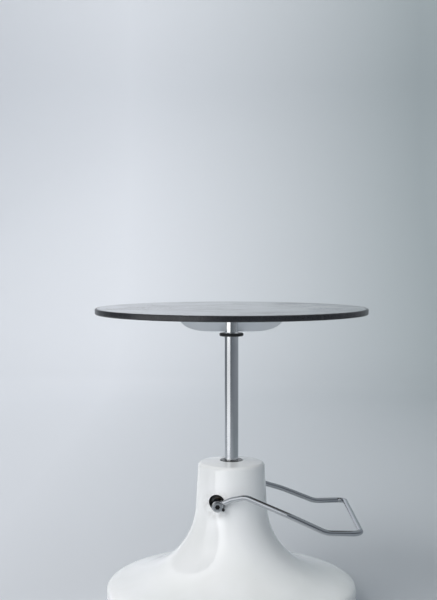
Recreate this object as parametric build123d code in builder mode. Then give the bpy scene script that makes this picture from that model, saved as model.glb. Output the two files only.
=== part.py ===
from build123d import *

import os
from math import cos, radians, sin

# Sculpting turntable on a hydraulic column, in millimetres, +Z up.
# The origin is on the floor under the column's axis. The pump lever reaches out along +X.
# At rest the column is at the top of its stroke.

os.makedirs("parts", exist_ok=True)

# ---------------------------------------------------------------------------
# Driving dimensions
# ---------------------------------------------------------------------------
# Fits
RUNNING = 0.05  # radial clearance of a shaft in its bore
GAP = 0.3  # face clearance between pieces that move past each other

# Base casting: a bell with a tall neck
SHELL_FOOT_Z = 6
RIM_R, RIM_Z = 207, 39
FLARE_END = (137, 69)
FLARE_SLOPE = 22.6  # degrees, where the flare meets the rim's crown
NECK_ROOT_R, NECK_ROOT_Z = 59, 177
NECK_TOP_R, NECK_TOP_Z = 55.2, 248
CROWN_Z = 251.5
WALL = 6.5
NECK_FILLET = 7
FLANGE_R, FLANGE_TOP_Z = 182, 16  # inner ledge that the bottom plate screws to

# Bottom plate, feet and screws
PLATE_R, PLATE_Z, PLATE_T = 199, 7, 3
PLATE_TOP_Z = PLATE_Z + PLATE_T
PLATE_SCREW_R = 191
FOOT_R, FOOT_PITCH_R = 18, 176

# Column
RAM_R = 11.5
RAM_BOTTOM_Z = 204
SHOULDER_Z = 463.4  # where the turned-down spigot begins
SPIGOT_R, SPIGOT_TOP_Z = 6.5, 482
STOP_RING_R, STOP_RING_T = 20, 5.2
PIVOT_BALL_R = 4.5
CYLINDER_R, CYLINDER_BORE_R = 17, 14
CYLINDER_BOTTOM_Z, CYLINDER_TOP_Z = 20, 243
GUIDE_BOTTOM_Z, GUIDE_TOP_Z = 216, 236
SEAL_SEAT_R = 19

# Hydraulic unit inside the bell
TANK_R, TANK_WALL = 50, 2.5
TANK_TOP_Z = 128
CAP_T = 10
CAP_TOP_Z = TANK_TOP_Z + CAP_T
BLOCK_TOP_Z = 40
PUMP_X = 30  # the pump barrel stands beside the cylinder
BARREL_R, PLUNGER_R = 9, 5
RELEASE_X, RELEASE_Y = 31, 23
BRACKET_T = 3.5
BRACKET_TOP_Z = CAP_TOP_Z + BRACKET_T

# Pump lever
LEVER_X, LEVER_Z = -23, 188.5  # cross shaft, beside the cylinder
SHAFT_R = 5
SHAFT_HALF = 54
BOSS_R, BOSS_IN_Y, BOSS_OUT_Y = 9.5, 47, 68
WALL_HOLE_X, WALL_HOLE_Z, WALL_HOLE_R = -24, 191.5, 13
BAIL_R = 4.5
ROCKER_R = 53  # cross shaft to presser pin
ROCKER_REST = 11  # degrees above level, so that the stroke is even about level
CHEEK_IN_Y, CHEEK_OUT_Y = 19, 27
PRESSER_R = 5

# Turntable top
TOP_R, TOP_Z = 225, 505
EDGE_T, EDGE_LIP = 3.5, 1  # the trim hangs a lip below the board
LAMINATE_T = 0.8
BOARD_BOTTOM_Z = 496.5
HUB_R, HUB_BORE_R = 11.5, 9
HUB_BOTTOM_Z = SHOULDER_Z + 1.2
TABLE_FLANGE_R, FLANGE_T = 88, 4
FLANGE_SCREW_R = 72
GUSSET_BOTTOM_Z, GUSSET_LEVEL_X = 466.2, 38
GUSSET_T = 8


# ---------------------------------------------------------------------------
# Base
# ---------------------------------------------------------------------------
def bell_curve(inset):
    """Flare and rim of the bell, from the neck down, moved inwards by inset."""
    lean = radians(FLARE_SLOPE)
    neck_lean = (NECK_ROOT_R - NECK_TOP_R) / (NECK_TOP_Z - NECK_ROOT_Z)
    root = (NECK_ROOT_R - inset, NECK_ROOT_Z)
    end = (FLARE_END[0] - inset * sin(lean), FLARE_END[1] - inset * cos(lean))
    rim = (RIM_R - inset, RIM_Z)
    flare_out, flare_in = 46.5, 52
    crown_out, rim_up = 38.6, 16.5 - 0.5 * inset
    flare = Bezier(
        root,
        (root[0] + flare_out * neck_lean, root[1] - flare_out),
        (end[0] - flare_in * cos(lean), end[1] + flare_in * sin(lean)),
        end,
    )
    crown = Bezier(
        end,
        (end[0] + crown_out * cos(lean), end[1] - crown_out * sin(lean)),
        (rim[0], rim[1] + rim_up),
        rim,
    )
    return flare, crown


with BuildPart() as base_shell:
    roof_z = NECK_TOP_Z - 10
    collar_r, collar_z = 24, 226
    with BuildSketch(Plane.XZ):
        with BuildLine():
            dome_mid = (0.6 * NECK_TOP_R, NECK_TOP_Z + 0.62 * (CROWN_Z - NECK_TOP_Z))
            ThreePointArc((SEAL_SEAT_R, CROWN_Z), dome_mid, (NECK_TOP_R, NECK_TOP_Z))
            Line((NECK_TOP_R, NECK_TOP_Z), (NECK_ROOT_R, NECK_ROOT_Z))
            bell_curve(0)
            Polyline(
                (RIM_R, RIM_Z),
                (RIM_R, SHELL_FOOT_Z),
                (RIM_R - WALL, SHELL_FOOT_Z),
                (RIM_R - WALL, PLATE_TOP_Z),
                (FLANGE_R, PLATE_TOP_Z),
                (FLANGE_R, FLANGE_TOP_Z),
                (RIM_R - WALL, FLANGE_TOP_Z),
                (RIM_R - WALL, RIM_Z),
            )
            bell_curve(WALL)
            Polyline(
                (NECK_ROOT_R - WALL, NECK_ROOT_Z),
                (NECK_TOP_R - WALL, roof_z),
                (collar_r, roof_z),
                (collar_r, collar_z),
                (CYLINDER_R, collar_z),
                (CYLINDER_R, CYLINDER_TOP_Z),
                (SEAL_SEAT_R, CYLINDER_TOP_Z),
                (SEAL_SEAT_R, CROWN_Z),
            )
        make_face()
    revolve(axis=Axis.Z)
    # the openings that the two ends of the cross shaft come out of
    with BuildSketch(Plane.XZ):
        with Locations((WALL_HOLE_X, WALL_HOLE_Z)):
            Circle(WALL_HOLE_R)
    extrude(amount=NECK_ROOT_R + 5, both=True, mode=Mode.SUBTRACT)
    with BuildSketch(Plane.XY.offset(PLATE_TOP_Z)):
        with PolarLocations(PLATE_SCREW_R, 6):
            Circle(2)
    extrude(amount=FLANGE_TOP_Z - PLATE_TOP_Z, mode=Mode.SUBTRACT)
    neck_edge = base_shell.edges().filter_by(GeomType.CIRCLE)
    neck_edge = neck_edge.filter_by(lambda e: abs(e.radius - NECK_TOP_R) < 0.01)
    fillet(neck_edge, NECK_FILLET)
    foot_edge = base_shell.edges().filter_by(GeomType.CIRCLE)
    foot_edge = foot_edge.filter_by(
        lambda e: abs(e.radius - RIM_R) < 0.01 and abs(e.center().Z - SHELL_FOOT_Z) < 0.01
    )
    fillet(foot_edge, 5)

TANK_BOLT_R = 58
with BuildPart() as base_plate:
    with BuildSketch(Plane.XY.offset(PLATE_Z)):
        Circle(PLATE_R)
        with PolarLocations(TANK_BOLT_R, 4):
            Circle(3, mode=Mode.SUBTRACT)
        with PolarLocations(FOOT_PITCH_R, 4, start_angle=45):
            Circle(2.5, mode=Mode.SUBTRACT)
        with PolarLocations(PLATE_SCREW_R, 6):
            Circle(2.3, mode=Mode.SUBTRACT)
    extrude(amount=PLATE_T)

with BuildPart() as base_plate_screws:
    with BuildSketch(Plane.XY.offset(PLATE_Z - 2.5)):
        with PolarLocations(PLATE_SCREW_R, 6):
            Circle(4.5)
    extrude(amount=2.5)
    with BuildSketch(Plane.XY.offset(PLATE_Z)):
        with PolarLocations(PLATE_SCREW_R, 6):
            Circle(2)
    extrude(amount=8.5)
    with BuildSketch(Plane.XY.offset(PLATE_Z - 2.5)):
        with PolarLocations(PLATE_SCREW_R, 6):
            RegularPolygon(1.7, 6)
    extrude(amount=1.5, mode=Mode.SUBTRACT)

with BuildPart() as rubber_feet:
    with BuildSketch():
        with PolarLocations(FOOT_PITCH_R, 4, start_angle=45):
            Circle(FOOT_R)
    extrude(amount=PLATE_Z)
    chamfer(rubber_feet.faces().sort_by(Axis.Z)[:4].edges(), 1.2)
    with BuildSketch():
        with PolarLocations(FOOT_PITCH_R, 4, start_angle=45):
            Circle(5.5)
    extrude(amount=4, mode=Mode.SUBTRACT)
    with BuildSketch():
        with PolarLocations(FOOT_PITCH_R, 4, start_angle=45):
            Circle(2.5)
    extrude(amount=PLATE_Z, mode=Mode.SUBTRACT)

with BuildPart() as foot_screws:
    with BuildSketch(Plane.XY.offset(1.5)):
        with PolarLocations(FOOT_PITCH_R, 4, start_angle=45):
            Circle(4.8)
    extrude(amount=2.5)
    with BuildSketch(Plane.XY.offset(4)):
        with PolarLocations(FOOT_PITCH_R, 4, start_angle=45):
            Circle(2.5)
    extrude(amount=PLATE_TOP_Z + 1 - 4)
    with BuildSketch(Plane.XY.offset(1.5)):
        with PolarLocations(FOOT_PITCH_R, 4, start_angle=45):
            RegularPolygon(1.9, 6)
    extrude(amount=1.4, mode=Mode.SUBTRACT)

# ---------------------------------------------------------------------------
# Hydraulic unit, bolted to the bottom plate inside the bell
# ---------------------------------------------------------------------------
TANK_FLOOR_T = 4
TANK_FLANGE_R = 66
with BuildPart() as reservoir_tank:
    with BuildSketch(Plane.XY.offset(PLATE_TOP_Z)):
        Circle(TANK_FLANGE_R)
        with PolarLocations(TANK_BOLT_R, 4):
            Circle(3, mode=Mode.SUBTRACT)
    extrude(amount=TANK_FLOOR_T)
    with BuildSketch(Plane.XY.offset(PLATE_TOP_Z + TANK_FLOOR_T)):
        Circle(TANK_R)
        Circle(TANK_R - TANK_WALL, mode=Mode.SUBTRACT)
    extrude(amount=TANK_TOP_Z - PLATE_TOP_Z - TANK_FLOOR_T)

with BuildPart() as tank_bolts:
    with BuildSketch(Plane.XY.offset(PLATE_Z - 4)):
        with PolarLocations(TANK_BOLT_R, 4):
            RegularPolygon(5.5, 6)
    extrude(amount=4)
    with BuildSketch(Plane.XY.offset(PLATE_Z)):
        with PolarLocations(TANK_BOLT_R, 4):
            Circle(3)
    extrude(amount=PLATE_T + TANK_FLOOR_T + 2)

BLOCK_BOTTOM_Z = PLATE_TOP_Z + TANK_FLOOR_T
BLOCK_R = TANK_R - TANK_WALL - 0.2
BARREL_BOTTOM_Z = 28
CHANNEL_Z, CHANNEL_R = 24, 2.5
BALL_R = 3
with BuildPart() as valve_block:
    with BuildSketch(Plane.XY.offset(BLOCK_BOTTOM_Z)):
        Circle(BLOCK_R)
    extrude(amount=BLOCK_TOP_Z - BLOCK_BOTTOM_Z)
    with BuildSketch(Plane.XY.offset(CYLINDER_BOTTOM_Z)):
        Circle(CYLINDER_R)
    extrude(amount=BLOCK_TOP_Z - CYLINDER_BOTTOM_Z, mode=Mode.SUBTRACT)
    with BuildSketch(Plane.XY.offset(BARREL_BOTTOM_Z)):
        with Locations((PUMP_X, 0)):
            Circle(BARREL_R)
    extrude(amount=BLOCK_TOP_Z - BARREL_BOTTOM_Z, mode=Mode.SUBTRACT)
    # delivery channel, and the suction hole in from the oil around the block
    with BuildSketch(Plane.YZ):
        with Locations((0, CHANNEL_Z)):
            Circle(CHANNEL_R)
    extrude(amount=BLOCK_R, mode=Mode.SUBTRACT)
    with BuildSketch(Plane.XY.offset(CHANNEL_Z)):
        with Locations((PUMP_X, 0)):
            Circle(BALL_R + 0.2)
    extrude(amount=BARREL_BOTTOM_Z - CHANNEL_Z, mode=Mode.SUBTRACT)

with BuildPart() as check_valve_balls:
    with Locations((PUMP_X, 0, CHANNEL_Z + 3.4)):
        Sphere(BALL_R)
    with Locations((BLOCK_R - 4, 0, CHANNEL_Z)):
        Sphere(CHANNEL_R - 0.1)

with BuildPart() as cylinder_tube:
    with BuildSketch(Plane.XY.offset(CYLINDER_BOTTOM_Z)):
        Circle(CYLINDER_R)
        Circle(CYLINDER_BORE_R, mode=Mode.SUBTRACT)
    extrude(amount=CYLINDER_TOP_Z - CYLINDER_BOTTOM_Z)
    with BuildSketch(Plane.YZ):
        with Locations((0, CHANNEL_Z)):
            Circle(CHANNEL_R)
    extrude(amount=CYLINDER_R + 1, mode=Mode.SUBTRACT)

CAP_SCREWS = [(-38, 0), (-8, 36), (-8, -36)]
FILLER_X, FILLER_Y = 14, -33
FILLER_R = 5
with BuildPart() as tank_cap:
    with BuildSketch(Plane.XY.offset(TANK_TOP_Z)):
        Circle(TANK_R)
        Circle(CYLINDER_R, mode=Mode.SUBTRACT)
        with Locations((PUMP_X, 0)):
            Circle(BARREL_R, mode=Mode.SUBTRACT)
        with Locations((RELEASE_X, RELEASE_Y)):
            Circle(6, mode=Mode.SUBTRACT)
        with Locations((FILLER_X, FILLER_Y)):
            Circle(FILLER_R, mode=Mode.SUBTRACT)
        with Locations(*CAP_SCREWS):
            Circle(2, mode=Mode.SUBTRACT)
    extrude(amount=CAP_T)
    # spigot that centres the cap in the tank
    with BuildSketch(Plane.XY.offset(TANK_TOP_Z - 4)):
        Circle(TANK_R - TANK_WALL)
        Circle(TANK_R - TANK_WALL - 3, mode=Mode.SUBTRACT)
        with Locations((PUMP_X, 0)):
            Circle(BARREL_R + 0.5, mode=Mode.SUBTRACT)
        with Locations((RELEASE_X, RELEASE_Y)):
            Circle(6.5, mode=Mode.SUBTRACT)
    extrude(amount=4)

EAR_X, EAR_IN_Y, EAR_OUT_Y = 9, 31, 36
BUSH_R = 7.5
with BuildPart() as lever_bracket:
    with BuildSketch(Plane.XY.offset(CAP_TOP_Z)):
        Circle(TANK_R - 0.5)
        Circle(CYLINDER_R + 0.1, mode=Mode.SUBTRACT)
        with Locations((PUMP_X, 0)):
            Circle(BARREL_R + 3.2, mode=Mode.SUBTRACT)
        with Locations((RELEASE_X, RELEASE_Y)):
            Circle(7.2, mode=Mode.SUBTRACT)
        with Locations((FILLER_X, FILLER_Y)):
            Circle(9, mode=Mode.SUBTRACT)
        with Locations(*CAP_SCREWS):
            Circle(2.3, mode=Mode.SUBTRACT)
    extrude(amount=BRACKET_T)
    for side in (1, -1):
        with BuildSketch(Plane.XZ.offset(-side * EAR_IN_Y)):
            with BuildLine():
                Polyline(
                    (LEVER_X + EAR_X, LEVER_Z),
                    (LEVER_X + EAR_X, BRACKET_TOP_Z),
                    (LEVER_X - EAR_X, BRACKET_TOP_Z),
                    (LEVER_X - EAR_X, LEVER_Z),
                )
                ThreePointArc(
                    (LEVER_X - EAR_X, LEVER_Z),
                    (LEVER_X, LEVER_Z + EAR_X),
                    (LEVER_X + EAR_X, LEVER_Z),
                )
            make_face()
            with Locations((LEVER_X, LEVER_Z)):
                Circle(BUSH_R, mode=Mode.SUBTRACT)
        extrude(amount=-side * (EAR_OUT_Y - EAR_IN_Y))

with BuildPart() as cap_screws:
    with BuildSketch(Plane.XY.offset(BRACKET_TOP_Z)):
        with Locations(*CAP_SCREWS):
            Circle(3.5)
    extrude(amount=4)
    with BuildSketch(Plane.XY.offset(TANK_TOP_Z + 0.5)):
        with Locations(*CAP_SCREWS):
            Circle(2)
    extrude(amount=BRACKET_TOP_Z - TANK_TOP_Z - 0.5)
    with BuildSketch(Plane.XY.offset(BRACKET_TOP_Z + 2)):
        with Locations(*CAP_SCREWS):
            RegularPolygon(1.7, 6)
    extrude(amount=2, mode=Mode.SUBTRACT)

with BuildPart() as shaft_bushes:
    for side in (1, -1):
        with BuildSketch(Plane.XZ.offset(-side * (EAR_IN_Y - 2))):
            with Locations((LEVER_X, LEVER_Z)):
                Circle(BUSH_R + 1.2)
        extrude(amount=-side * 2)
        with BuildSketch(Plane.XZ.offset(-side * EAR_IN_Y)):
            with Locations((LEVER_X, LEVER_Z)):
                Circle(BUSH_R)
        extrude(amount=-side * (EAR_OUT_Y - EAR_IN_Y))
    with BuildSketch(Plane.XZ):
        with Locations((LEVER_X, LEVER_Z)):
            Circle(SHAFT_R + RUNNING)
    extrude(amount=EAR_OUT_Y + 1, both=True, mode=Mode.SUBTRACT)

BARREL_TOP_Z = CAP_TOP_Z + 4
with BuildPart() as pump_barrel:
    with BuildSketch(Plane.XY.offset(BARREL_BOTTOM_Z)):
        with Locations((PUMP_X, 0)):
            Circle(BARREL_R)
    extrude(amount=BARREL_TOP_Z - BARREL_BOTTOM_Z)
    with BuildSketch(Plane.XY.offset(CAP_TOP_Z)):
        with Locations((PUMP_X, 0)):
            Circle(BARREL_R + 3)
    extrude(amount=BARREL_TOP_Z - CAP_TOP_Z)
    with BuildSketch(Plane.XY.offset(BARREL_BOTTOM_Z)):
        with Locations((PUMP_X, 0)):
            Circle(PLUNGER_R + RUNNING)
    extrude(amount=BARREL_TOP_Z - BARREL_BOTTOM_Z, mode=Mode.SUBTRACT)

RELEASE_BODY_BOTTOM_Z = 116
RELEASE_BODY_TOP_Z = CAP_TOP_Z + 4
RELEASE_PIN_R = 2.5
with BuildPart() as release_valve_body:
    with BuildSketch(Plane.XY.offset(RELEASE_BODY_BOTTOM_Z)):
        with Locations((RELEASE_X, RELEASE_Y)):
            Circle(4.6)
    extrude(amount=TANK_TOP_Z - RELEASE_BODY_BOTTOM_Z)
    with BuildSketch(Plane.XY.offset(TANK_TOP_Z)):
        with Locations((RELEASE_X, RELEASE_Y)):
            Circle(6)
    extrude(amount=CAP_T)
    with BuildSketch(Plane.XY.offset(CAP_TOP_Z)):
        with Locations((RELEASE_X, RELEASE_Y)):
            RegularPolygon(7, 6)
    extrude(amount=RELEASE_BODY_TOP_Z - CAP_TOP_Z)
    with BuildSketch(Plane.XY.offset(RELEASE_BODY_BOTTOM_Z + 1.5)):
        with Locations((RELEASE_X, RELEASE_Y)):
            Circle(RELEASE_PIN_R + RUNNING)
    extrude(amount=RELEASE_BODY_TOP_Z - RELEASE_BODY_BOTTOM_Z, mode=Mode.SUBTRACT)

with BuildPart() as filler_plug:
    with BuildSketch(Plane.XY.offset(TANK_TOP_Z)):
        with Locations((FILLER_X, FILLER_Y)):
            Circle(FILLER_R)
    extrude(amount=CAP_T)
    with BuildSketch(Plane.XY.offset(CAP_TOP_Z)):
        with Locations((FILLER_X, FILLER_Y)):
            RegularPolygon(8, 6)
    extrude(amount=6)

# ---------------------------------------------------------------------------
# Gland at the top of the neck
# ---------------------------------------------------------------------------
GLAND_TOP_Z = 246
with BuildPart() as guide_bush:
    with BuildSketch(Plane.XY.offset(GUIDE_BOTTOM_Z)):
        Circle(CYLINDER_BORE_R)
        Circle(RAM_R + RUNNING, mode=Mode.SUBTRACT)
    extrude(amount=GUIDE_TOP_Z - GUIDE_BOTTOM_Z)

with BuildPart() as rod_seal:
    with BuildSketch(Plane.XY.offset(GUIDE_TOP_Z)):
        Circle(CYLINDER_BORE_R)
        Circle(RAM_R + RUNNING, mode=Mode.SUBTRACT)
    extrude(amount=CYLINDER_TOP_Z - GUIDE_TOP_Z)

with BuildPart() as gland_ring:
    with BuildSketch(Plane.XY.offset(CYLINDER_TOP_Z)):
        Circle(SEAL_SEAT_R)
        Circle(RAM_R + 0.4, mode=Mode.SUBTRACT)
    extrude(amount=GLAND_TOP_Z - CYLINDER_TOP_Z)

with BuildPart() as wiper_seal:
    with BuildSketch(Plane.XY.offset(GLAND_TOP_Z)):
        Circle(SEAL_SEAT_R)
        Circle(RAM_R + RUNNING, mode=Mode.SUBTRACT)
    extrude(amount=CROWN_Z + 0.8 - GLAND_TOP_Z)
    fillet(wiper_seal.faces().sort_by(Axis.Z)[-1].outer_wire().edges(), 1)

# ---------------------------------------------------------------------------
# Pump lever
# ---------------------------------------------------------------------------
with BuildPart() as cross_shaft:
    with BuildSketch(Plane.XZ):
        with Locations((LEVER_X, LEVER_Z)):
            Circle(SHAFT_R)
    extrude(amount=SHAFT_HALF, both=True)
    # cross holes for the pins that hold the rocker
    with BuildSketch(Plane.XY.offset(LEVER_Z - SHAFT_R - 1)):
        with Locations((LEVER_X, CHEEK_IN_Y + 4), (LEVER_X, -CHEEK_IN_Y - 4)):
            Circle(1.5)
    extrude(amount=2 * SHAFT_R + 2, mode=Mode.SUBTRACT)

# the bail's centreline: up over a small hump, down and out to the pedal, and across
ARM = [
    (LEVER_X, 60, LEVER_Z),
    (0, 68, 199.8),
    (22, 79, 206.3),
    (90, 101.5, 181.9),
    (148, 111.5, 157.3),
    (202, 116.5, 157.8),
]
ARM_RADII = [25, 22, 60, 40, 13]
with BuildPart() as lever_bail:
    with BuildLine() as bail_line:
        FilletPolyline(
            *[(x, -y, z) for x, y, z in ARM],
            *reversed(ARM),
            radius=ARM_RADII + ARM_RADII[::-1],
        )
    with BuildSketch(Plane(bail_line.line @ 0, z_dir=bail_line.line % 0)):
        Circle(BAIL_R)
    sweep(path=bail_line.line)

BOSS_SCREW_R, BOSS_SCREW_DEPTH = 3, 2
BOSS_HEAD_R, BOSS_HEAD_T = 7.2, 3.6
LUG_AT = (LEVER_X + 9.2, LEVER_Z - 4.8)
LUG_R, LUG_IN_Y = 3.3, 61.5
CLAMP_R, CLAMP_HEAD_R, CLAMP_HEAD_T = 1.5, 2.4, 2.2
with BuildPart() as lever_bosses:
    for side in (1, -1):
        with BuildSketch(Plane.XZ.offset(-side * BOSS_IN_Y)):
            with Locations((LEVER_X, LEVER_Z)):
                Circle(BOSS_R)
        extrude(amount=-side * (BOSS_OUT_Y - BOSS_IN_Y))
    chamfer(lever_bosses.edges().filter_by(GeomType.CIRCLE), 0.8)
    # a lug outside the shell's wall takes the clamp screw
    for side in (1, -1):
        with BuildSketch(Plane.XZ.offset(-side * LUG_IN_Y)):
            with Locations(LUG_AT):
                Circle(LUG_R)
        extrude(amount=-side * (BOSS_OUT_Y - LUG_IN_Y))
    with BuildSketch(Plane.XZ):
        with Locations((LEVER_X, LEVER_Z)):
            Circle(SHAFT_R)
    extrude(amount=SHAFT_HALF, both=True, mode=Mode.SUBTRACT)
    for side in (1, -1):
        with BuildSketch(Plane.XZ.offset(-side * (BOSS_OUT_Y - BOSS_SCREW_DEPTH))):
            with Locations((LEVER_X, LEVER_Z)):
                Circle(BOSS_SCREW_R)
        extrude(amount=-side * (BOSS_SCREW_DEPTH + 1), mode=Mode.SUBTRACT)
        with BuildSketch(Plane.XZ.offset(-side * (BOSS_OUT_Y - BOSS_SCREW_DEPTH))):
            with Locations(LUG_AT):
                Circle(CLAMP_R)
        extrude(amount=-side * (BOSS_SCREW_DEPTH + 1), mode=Mode.SUBTRACT)
    add(lever_bail.part, mode=Mode.SUBTRACT)

with BuildPart() as boss_screws:
    for side in (1, -1):
        with BuildSketch(Plane.XZ.offset(-side * BOSS_OUT_Y)):
            with Locations((LEVER_X, LEVER_Z)):
                Circle(BOSS_HEAD_R)
        extrude(amount=-side * BOSS_HEAD_T)
    chamfer(boss_screws.edges().filter_by(GeomType.CIRCLE).group_by(Axis.Y)[0], 0.6)
    chamfer(boss_screws.edges().filter_by(GeomType.CIRCLE).group_by(Axis.Y)[-1], 0.6)
    for side in (1, -1):
        with BuildSketch(Plane.XZ.offset(-side * (BOSS_OUT_Y - BOSS_SCREW_DEPTH))):
            with Locations((LEVER_X, LEVER_Z)):
                Circle(BOSS_SCREW_R)
        extrude(amount=-side * BOSS_SCREW_DEPTH)
        with BuildSketch(Plane.XZ.offset(-side * (BOSS_OUT_Y + BOSS_HEAD_T - 3))):
            with Locations((LEVER_X, LEVER_Z)):
                RegularPolygon(4.2, 6)
        extrude(amount=-side * 3, mode=Mode.SUBTRACT)
        with BuildSketch(Plane.XZ.offset(-side * (BOSS_OUT_Y - BOSS_SCREW_DEPTH))):
            with Locations(LUG_AT):
                Circle(CLAMP_R)
        extrude(amount=-side * BOSS_SCREW_DEPTH)
        with BuildSketch(Plane.XZ.offset(-side * BOSS_OUT_Y)):
            with Locations(LUG_AT):
                Circle(CLAMP_HEAD_R)
        extrude(amount=-side * CLAMP_HEAD_T)

PRESSER_X = LEVER_X + ROCKER_R * cos(radians(ROCKER_REST))
PRESSER_Z = LEVER_Z + ROCKER_R * sin(radians(ROCKER_REST))
BRIDGE_IN, BRIDGE_OUT = 58.5, 62.5  # from the cross shaft, past the presser pin
# the rocker is drawn level along its own arm, then stands tilted by its rest angle
ROCKER_SIDE = Plane(
    origin=(LEVER_X, 0, LEVER_Z),
    x_dir=(cos(radians(ROCKER_REST)), 0, sin(radians(ROCKER_REST))),
    z_dir=(0, -1, 0),
)
with BuildPart() as rocker_fork:
    for side in (1, -1):
        with BuildSketch(ROCKER_SIDE.offset(-side * CHEEK_IN_Y)):
            Circle(9.5)
            with Locations((BRIDGE_OUT / 2, 0)):
                Rectangle(BRIDGE_OUT, 10)
            Circle(SHAFT_R, mode=Mode.SUBTRACT)
            with Locations((ROCKER_R, 0)):
                Circle(3, mode=Mode.SUBTRACT)
        extrude(amount=-side * (CHEEK_OUT_Y - CHEEK_IN_Y))
    with BuildSketch(ROCKER_SIDE):
        with Locations(((BRIDGE_IN + BRIDGE_OUT) / 2, 2.5)):
            Rectangle(BRIDGE_OUT - BRIDGE_IN, 5)
    extrude(amount=CHEEK_IN_Y, both=True)
    with BuildSketch(Plane.XY.offset(LEVER_Z - 12)):
        with Locations((LEVER_X, CHEEK_IN_Y + 4), (LEVER_X, -CHEEK_IN_Y - 4)):
            Circle(1.5)
    extrude(amount=24, mode=Mode.SUBTRACT)

with BuildPart() as fork_pins:
    with BuildSketch(Plane.XY.offset(LEVER_Z - 9)):
        with Locations((LEVER_X, CHEEK_IN_Y + 4), (LEVER_X, -CHEEK_IN_Y - 4)):
            Circle(1.5)
    extrude(amount=18)

with BuildPart() as presser_pin:
    with BuildSketch(ROCKER_SIDE):
        with Locations((ROCKER_R, 0)):
            Circle(PRESSER_R)
    extrude(amount=CHEEK_IN_Y, both=True)
    with BuildSketch(ROCKER_SIDE):
        with Locations((ROCKER_R, 0)):
            Circle(3)
    extrude(amount=CHEEK_OUT_Y, both=True)

# ---------------------------------------------------------------------------
# Pump plunger and release pin
# ---------------------------------------------------------------------------
HEAD_TOP_Z = PRESSER_Z - PRESSER_R - GAP
HEAD_T = 6
PLUNGER_BOTTOM_Z = 95
RING_GROOVE_Z = 101
with BuildPart() as pump_plunger:
    with BuildSketch(Plane.XY.offset(PLUNGER_BOTTOM_Z)):
        with Locations((PUMP_X, 0)):
            Circle(PLUNGER_R)
    extrude(amount=HEAD_TOP_Z - PLUNGER_BOTTOM_Z)
    with BuildSketch(Plane.XY.offset(HEAD_TOP_Z - HEAD_T)):
        with Locations((PUMP_X, 0)):
            Circle(9)
    extrude(amount=HEAD_T)
    with BuildSketch(Plane.XY.offset(RING_GROOVE_Z)):
        with Locations((PUMP_X, 0)):
            Circle(PLUNGER_R)
            Circle(PLUNGER_R - 1.2, mode=Mode.SUBTRACT)
    extrude(amount=2, mode=Mode.SUBTRACT)

with BuildPart() as plunger_ring:
    with BuildSketch(Plane.XY.offset(RING_GROOVE_Z)):
        with Locations((PUMP_X, 0)):
            Circle(PLUNGER_R)
            Circle(PLUNGER_R - 1.2, mode=Mode.SUBTRACT)
    extrude(amount=2)


def coil_spring(x, y, z_low, z_high, coil_r, wire_r, turns):
    """A closed helical spring of round wire, standing between two levels."""
    height = z_high - z_low - 2 * wire_r - 0.2
    with BuildPart() as spring:
        with BuildLine() as coil:
            Helix(height / turns, height, coil_r, center=(x, y, z_low + wire_r + 0.1))
        with BuildSketch(Plane(coil.line @ 0, z_dir=coil.line % 0)):
            Circle(wire_r)
        sweep(path=coil.line, is_frenet=True)
    return spring


plunger_spring = coil_spring(PUMP_X, 0, BARREL_TOP_Z, HEAD_TOP_Z - HEAD_T, 7, 0.9, 7)

CHEEK_LOW_Z = LEVER_Z - ROCKER_R * sin(radians(ROCKER_REST)) - 6.5
RELEASE_TOP_Z = CHEEK_LOW_Z - 1.5
with BuildPart() as release_pin:
    with BuildSketch(Plane.XY.offset(RELEASE_BODY_BOTTOM_Z + 6)):
        with Locations((RELEASE_X, RELEASE_Y)):
            Circle(RELEASE_PIN_R)
    extrude(amount=RELEASE_TOP_Z - RELEASE_BODY_BOTTOM_Z - 6)
    with BuildSketch(Plane.XY.offset(RELEASE_TOP_Z - 3)):
        with Locations((RELEASE_X, RELEASE_Y)):
            Circle(5)
    extrude(amount=3)

release_spring = coil_spring(
    RELEASE_X, RELEASE_Y, RELEASE_BODY_TOP_Z, RELEASE_TOP_Z - 3, 3.8, 0.5, 7
)

# ---------------------------------------------------------------------------
# Column
# ---------------------------------------------------------------------------
PISTON_TOP_Z = GUIDE_BOTTOM_Z - GAP
PISTON_T = 8
with BuildPart() as ram:
    with BuildSketch(Plane.XZ):
        with BuildLine():
            Polyline(
                (0, RAM_BOTTOM_Z + 6),
                (3, RAM_BOTTOM_Z + 6),
                (3, RAM_BOTTOM_Z),
                (8, RAM_BOTTOM_Z),
                (8, PISTON_TOP_Z),
                (RAM_R, PISTON_TOP_Z),
                (RAM_R, SHOULDER_Z),
                (SPIGOT_R, SHOULDER_Z),
                (SPIGOT_R, SPIGOT_TOP_Z),
                (0, SPIGOT_TOP_Z),
                (0, RAM_BOTTOM_Z + 6),
            )
        make_face()
    revolve(axis=Axis.Z)
    # cup for the pivot ball, and the groove for the hub's retaining screw
    with Locations((0, 0, SPIGOT_TOP_Z + 3.4)):
        Sphere(PIVOT_BALL_R, mode=Mode.SUBTRACT)
    with BuildSketch(Plane.XY.offset(474)):
        Circle(SPIGOT_R + 1)
        Circle(SPIGOT_R - 1, mode=Mode.SUBTRACT)
    extrude(amount=4, mode=Mode.SUBTRACT)

with BuildPart() as piston_ring:
    with BuildSketch(Plane.XY.offset(PISTON_TOP_Z - PISTON_T)):
        Circle(CYLINDER_BORE_R - RUNNING)
        Circle(8, mode=Mode.SUBTRACT)
    extrude(amount=PISTON_T)

with BuildPart() as piston_screw:
    with BuildSketch(Plane.XY.offset(RAM_BOTTOM_Z)):
        Circle(3)
    extrude(amount=6)
    with BuildSketch(Plane.XY.offset(RAM_BOTTOM_Z - 2.5)):
        Circle(11)
    extrude(amount=2.5)

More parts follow.
